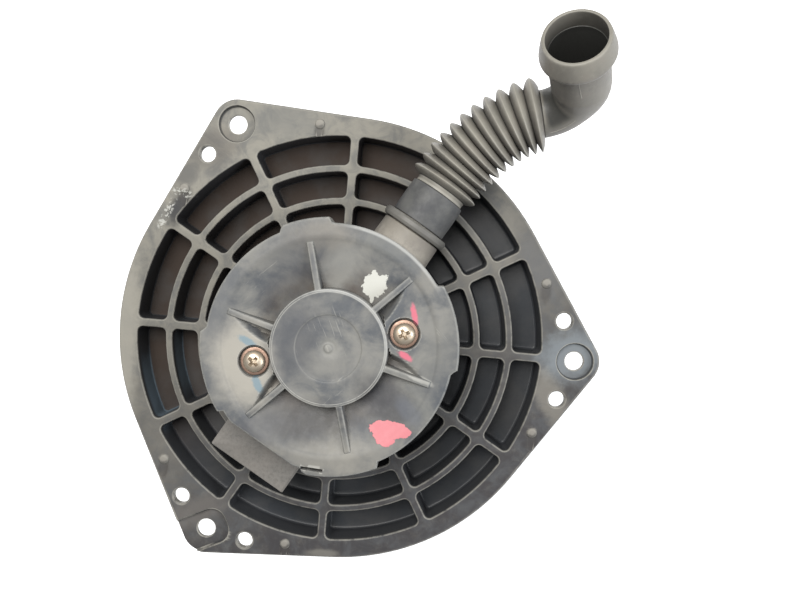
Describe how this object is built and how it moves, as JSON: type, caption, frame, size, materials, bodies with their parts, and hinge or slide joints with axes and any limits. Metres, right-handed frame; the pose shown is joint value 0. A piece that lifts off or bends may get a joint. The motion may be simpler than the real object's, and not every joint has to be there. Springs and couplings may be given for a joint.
{
  "type": "blower motor",
  "caption": "Cabin blower motor on a ribbed three-eared flange, with a squirrel-cage wheel, a bellows cooling hose with an elbow and a side connector.",
  "frame": {"origin": "on the motor axis, in the seating plane of the three ear pads", "axes": "+Z along the motor axis towards the cap, +X through one of the three ears"},
  "size_m": [0.1878, 0.2059, 0.1494],
  "materials": {
    "flange_plastic": "moulded, dusty",
    "cap_plastic": "moulded, rubbed",
    "fan_plastic": "moulded, satin",
    "connector_plastic": "moulded, dusty",
    "cuff_plastic": "satin",
    "hose_rubber": "matt, dusty",
    "rubber": "matt",
    "foam": "open-cell foam",
    "zinc_steel": "yellow zinc plated",
    "copper": "bright copper",
    "plated_steel": "zinc plated sheet",
    "spring_steel": "ground",
    "brass": "rolled",
    "bronze": "sintered, oiled",
    "ferrite": "sintered ferrite",
    "carbon": "pressed carbon",
    "card": "pressed phenolic",
    "lead_cover": "insulated wire"
  },
  "bodies": {
    "root": {"mounting_flange": "flange_plastic", "flange_gasket": "foam", "motor_cap": "cap_plastic", "cap_screw_right": "zinc_steel", "cap_screw_left": "zinc_steel", "cap_washer_right": "copper", "cap_washer_left": "copper", "isolator_right": "rubber", "isolator_left": "rubber", "motor_yoke": "plated_steel", "end_bracket": "plated_steel", "brush_card": "card", "magnet_right": "ferrite", "magnet_left": "ferrite", "magnet_clip_upper": "spring_steel", "magnet_clip_lower": "spring_steel", "brush_holder_upper": "brass", "brush_holder_lower": "brass", "brush_spring_upper": "spring_steel", "brush_spring_lower": "spring_steel", "rear_bearing": "bronze", "rear_bearing_retainer": "plated_steel", "front_bearing": "bronze", "front_bearing_retainer": "plated_steel", "connector_housing": "connector_plastic", "terminal_a": "brass", "terminal_b": "brass", "lead_a": "lead_cover", "lead_b": "lead_cover", "spout_seal_ring": "rubber"},
    "rotor": {"shaft": "spring_steel", "armature_core": "plated_steel", "armature_winding": "copper", "commutator": "copper", "rear_thrust_washer": "card", "front_thrust_washer": "card", "fan_wheel": "fan_plastic", "fan_hub_insert": "brass", "fan_washer": "zinc_steel", "fan_nut": "zinc_steel"},
    "brush_upper_slider": {"brush_upper": "carbon"},
    "brush_lower_slider": {"brush_lower": "carbon"},
    "hose_base": {"hose_cuff": "cuff_plastic", "bellows_inner": "hose_rubber"},
    "hose_middle": {"bellows_middle_fold": "hose_rubber"},
    "hose_end": {"bellows_outer": "hose_rubber", "hose_elbow": "hose_rubber"}
  },
  "joints": [
    {"name": "rotor_spin", "type": "hinge", "parent": "root", "child": "rotor", "pos_m": [0, 0, 0], "axis": [0, 0, 1], "continuous": true},
    {"name": "brush_upper_slide", "type": "slide", "parent": "root", "child": "brush_upper_slider", "axis": [-0.2672, 0.9636, 0], "range_m": [0, 0.003], "stiffness_N_per_m": 300, "springref_m": -0.005, "deforming": ["brush_spring_upper"]},
    {"name": "brush_lower_slide", "type": "slide", "parent": "root", "child": "brush_lower_slider", "axis": [0.2672, -0.9636, 0], "range_m": [0, 0.003], "stiffness_N_per_m": 300, "springref_m": -0.005, "deforming": ["brush_spring_lower"]},
    {"name": "hose_swivel", "type": "hinge", "parent": "root", "child": "hose_base", "pos_m": [0.03, 0.05196, 0.0185], "axis": [0.5, 0.866, 0], "range_deg": [-25, 25]},
    {"name": "hose_bend_side", "type": "hinge", "parent": "hose_base", "child": "hose_middle", "pos_m": [0.0401, 0.0686, 0.0191], "axis": [0, 0, 1], "range_deg": [-15, 15], "stiffness_Nm_per_rad": 1, "deforming": ["bellows_inner"]},
    {"name": "hose_bend_lift", "type": "hinge", "parent": "hose_middle", "child": "hose_end", "pos_m": [0.058, 0.085, 0.0242], "axis": [0.4891, -0.8722, 0], "range_deg": [-15, 15], "stiffness_Nm_per_rad": 1, "deforming": ["bellows_outer"]}
  ]
}
